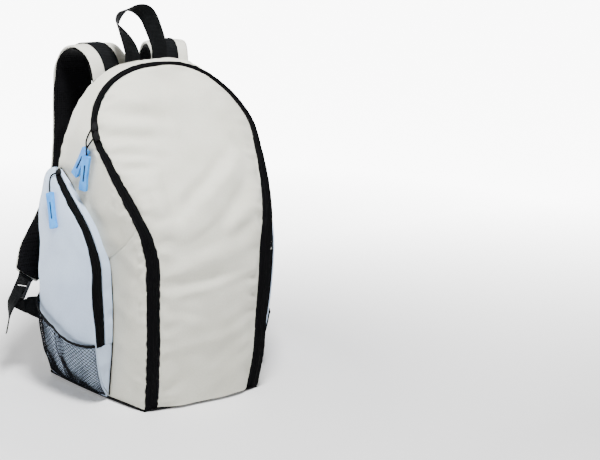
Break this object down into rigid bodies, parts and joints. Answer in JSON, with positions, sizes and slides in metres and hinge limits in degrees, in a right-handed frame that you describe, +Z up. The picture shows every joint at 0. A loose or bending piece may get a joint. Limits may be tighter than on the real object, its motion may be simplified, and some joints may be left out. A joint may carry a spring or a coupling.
{
  "type": "cooler backpack",
  "caption": "Cooler backpack with an arched zipped front flap, side bellows and mesh pockets, padded straps and a webbing haul loop.",
  "frame": {"origin": "middle of the base, on the surface that the bag stands on", "axes": "+Z up to the haul loop, -Y out of the front flap, +Y to the shoulder straps, +X to the right seen from the front"},
  "size_m": [0.453, 0.3072, 0.5415],
  "materials": {
    "ivory_canvas": "matt woven canvas",
    "ivory_canvas_side": "matt woven canvas",
    "ivory_strap": "matt woven canvas over padding",
    "pale_blue_canvas": "matt woven canvas",
    "black_zip": "black zip tape and coil",
    "black_piping": "black bound edge",
    "black_net": "coarse black net",
    "black_air_mesh": "black spacer mesh",
    "black_base_cloth": "matt black cloth",
    "black_webbing": "ribbed black webbing",
    "black_buckle": "satin moulded plastic",
    "white_lining": "smooth insulated lining",
    "white_net": "fine white net",
    "blue_pull": "soft moulded pull",
    "dark_slider": "black painted slider",
    "black_cord": "thin black cord"
  },
  "bodies": {
    "root": {"flap_panel": "ivory_canvas", "main_zip": "black_zip", "upper_gusset": "ivory_canvas", "lower_gusset_left": "ivory_canvas_side", "lower_gusset_right": "ivory_canvas_side", "back_panel": "black_air_mesh", "base_panel": "black_base_cloth", "base_piping": "black_piping", "flap_lining": "white_lining", "wall_lining": "white_lining", "back_lining": "white_lining", "floor_lining": "white_lining", "bottle_shelf": "white_lining", "inner_pocket": "white_net", "pocket_face_left": "pale_blue_canvas", "pocket_lower_gusset_left": "pale_blue_canvas", "pocket_gusset_left": "pale_blue_canvas", "pocket_zip_left": "black_zip", "pocket_piping_left": "black_piping", "mesh_pocket_left": "black_net", "mesh_binding_left": "black_piping", "pocket_face_right": "pale_blue_canvas", "pocket_lower_gusset_right": "pale_blue_canvas", "pocket_gusset_right": "pale_blue_canvas", "pocket_zip_right": "black_zip", "pocket_piping_right": "black_piping", "mesh_pocket_right": "black_net", "mesh_binding_right": "black_piping", "main_upper_slider": "dark_slider", "main_upper_link": "black_cord", "main_upper_pull": "blue_pull", "main_lower_slider": "dark_slider", "main_lower_link": "black_cord", "main_lower_pull": "blue_pull", "pocket_left_slider": "dark_slider", "pocket_left_link": "black_cord", "pocket_left_pull": "blue_pull", "pocket_right_slider": "dark_slider", "pocket_right_link": "black_cord", "pocket_right_pull": "blue_pull", "strap_pad_left": "ivory_strap", "strap_pad_right": "ivory_strap", "strap_lining_left": "black_air_mesh", "strap_lining_right": "black_air_mesh", "strap_webbing_left": "black_webbing", "strap_webbing_right": "black_webbing", "ladder_lock_left": "black_buckle", "ladder_lock_right": "black_buckle", "strap_tab_left": "black_webbing", "strap_tab_right": "black_webbing", "adjuster_webbing_left": "black_webbing", "adjuster_webbing_right": "black_webbing", "anchor_wing_left": "black_base_cloth", "anchor_wing_right": "black_base_cloth", "haul_loop": "black_webbing"}
  },
  "joints": []
}
